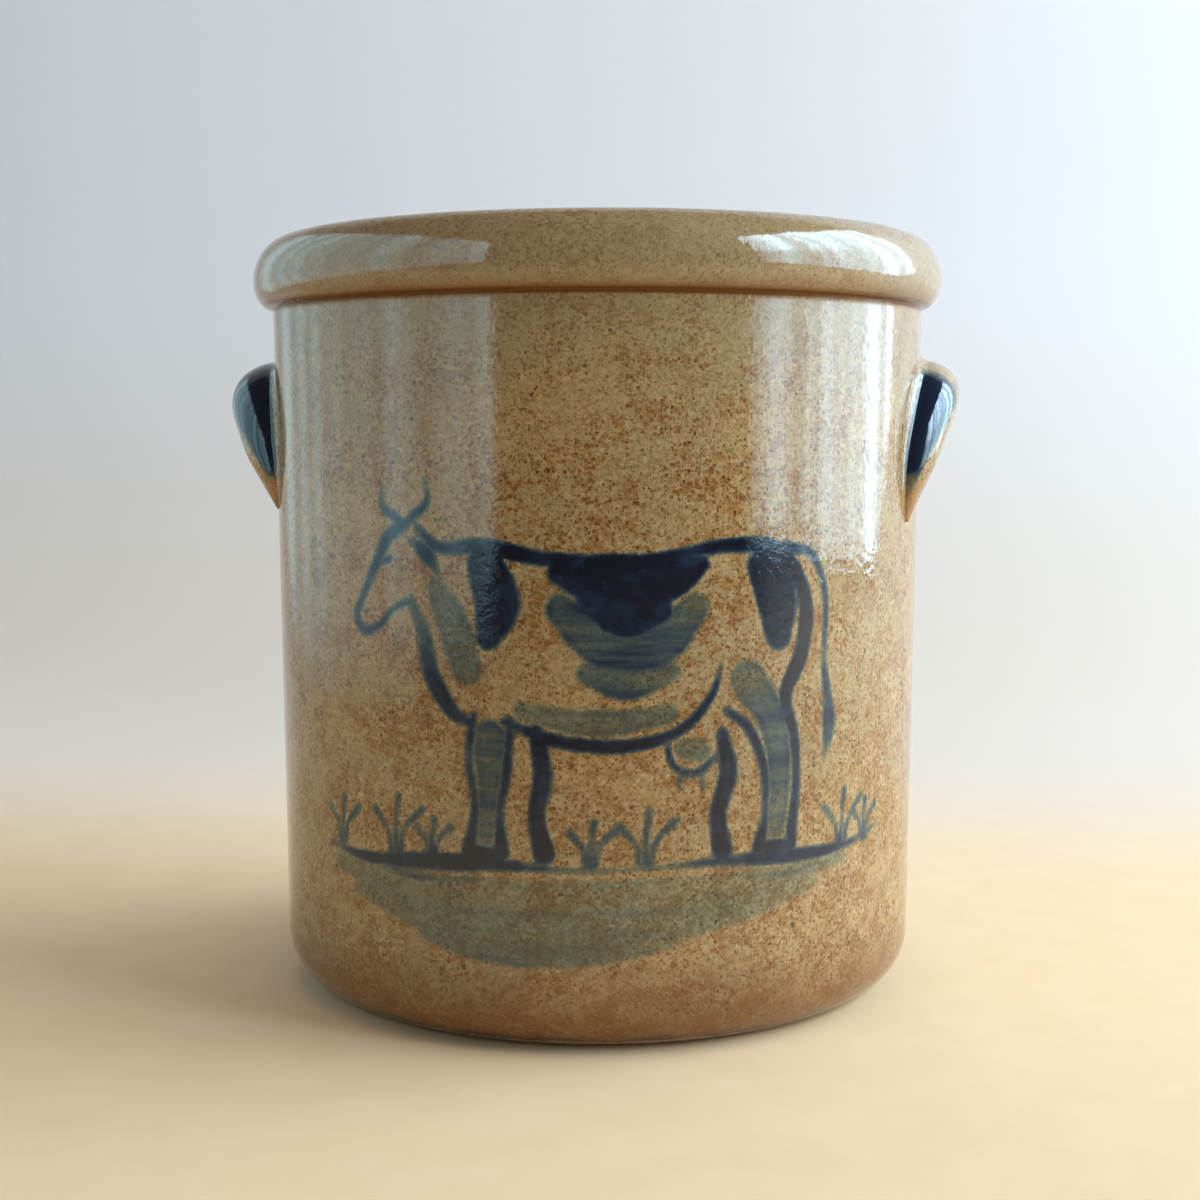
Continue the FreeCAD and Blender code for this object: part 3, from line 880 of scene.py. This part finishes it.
def make_crock_glaze():
    """Glossy speckled glaze with the painting in it, and bare clay under the foot."""
    material, tree, shader, place, height = glossy_material("crock_glaze")
    glaze, specks = bare_glaze(tree, place, height)
    glaze, dull = coloured_by_height(tree, place, height, glaze)
    tree.link(tree.maths("MULTIPLY_ADD", dull, -0.5, 0.5), shader.inputs["Specular IOR Level"])
    colour = cobalt_over(tree, glaze, brushed_cobalt(tree, place))

    ragged = tree.maths("MULTIPLY_ADD", tree.noise(place, 160.0, 3.0), -2.4 * MM, height)
    bare = tree.span(ragged, 1.2 * MM, 0.6 * MM)
    clay = tree.mix(tree.noise(place, 900.0, 4.0, 0.7), CLAY_DARK, CLAY_PALE)
    tree.link(tree.mix(bare, colour, clay), shader.inputs["Base Color"])
    gloss = tree.span(tree.noise(place, 45.0, 3.0), 0.3, 0.7, 0.055, 0.10)
    roughness = tree.maths("MAXIMUM", gloss, tree.maths("MULTIPLY", bare, 0.8))
    tree.link(roughness, shader.inputs["Roughness"])
    add_relief(tree, shader, place, specks)
    return material


def add_relief(tree, shader, place, specks):
    """Fine orange peel in the glaze, slightly sunk at the larger specks."""
    peel = tree.noise(place, 210.0, 2.0, 0.5)
    slow = tree.noise(place, 60.0, 1.0, 0.5)
    fine = tree.noise(place, 520.0, 2.0, 0.6)
    height = tree.maths("MULTIPLY_ADD", peel, 0.50, slow)
    height = tree.maths("MULTIPLY_ADD", fine, 0.75, height)
    height = tree.maths("SUBTRACT", height, tree.maths("MULTIPLY", specks, 0.10))
    bump = tree.add("ShaderNodeBump", Strength=1.0, Distance=0.06 * MM, Height=height)
    tree.link(bump.outputs[0], shader.inputs["Normal"])


def make_lug_glaze():
    """The same glaze, with cobalt brushed down the strap's outer face and rust on its tips."""
    material, tree, shader, place, height = glossy_material("lug_glaze")
    glaze, specks = bare_glaze(tree, place, height)
    bend = tree.maths("ABSOLUTE", tree.attribute("bend"))
    around = tree.attribute("around")
    fray = tree.noise(place, 260.0, 3.0, 0.6)
    bend_frayed = tree.maths("MULTIPLY_ADD", fray, 16.0, bend)
    around_frayed = tree.maths("MULTIPLY_ADD", fray, 26.0, around)
    right = tree.span(tree.add("ShaderNodeSeparateXYZ", Vector=place).outputs[0], -10 * MM, 10 * MM)
    begins = tree.span(tree.maths("MULTIPLY_ADD", right, -12.0, bend_frayed), 9.0, 17.0)
    ends = tree.span(bend_frayed, 84.0, 72.0)
    strip = tree.span(bend, 30.0, 80.0, 16.0, 52.0)
    side = tree.span(tree.maths("SUBTRACT", around_frayed, strip), 0.0, 12.0)
    joint = tree.span(around, 104.0, 94.0)
    along = tree.maths("MULTIPLY", begins, ends)
    amount = tree.maths("MULTIPLY", along, tree.maths("MULTIPLY", side, joint))
    load = tree.span(around_frayed, 20.0, 80.0, 0.60, 0.86)
    tail = tree.span(bend, 60.0, 84.0, 0.0, 0.70)
    glaze = tree.mix(tail, glaze, LUG_TAIL_RUST)
    colour = cobalt_over(tree, glaze, tree.maths("MULTIPLY", amount, load))
    tree.link(colour, shader.inputs["Base Color"])
    gloss = tree.span(tree.noise(place, 45.0, 3.0), 0.3, 0.7, 0.05, 0.09)
    tree.link(gloss, shader.inputs["Roughness"])
    add_relief(tree, shader, place, specks)
    return material


# ---------------------------------------------------------------- the whole

def main():
    make_camera()
    bpy.context.scene.view_settings.view_transform = "Standard"
    make_world()
    make_lights()
    make_stage()
    crock_glaze = make_crock_glaze()
    lug_glaze = make_lug_glaze()
    body = make_body()
    body.data.materials.append(crock_glaze)
    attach(body, "root")
    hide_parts("crock_body")
    for name, side, node in (("pulled_lug_left", -1, "left_lug_handle"),
                             ("pulled_lug_right", 1, "right_lug_handle")):
        lug = make_lug(name, side, lug_sizes(node))
        lug.data.materials.append(lug_glaze)
        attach(lug, "root")
        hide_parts(node)


main()
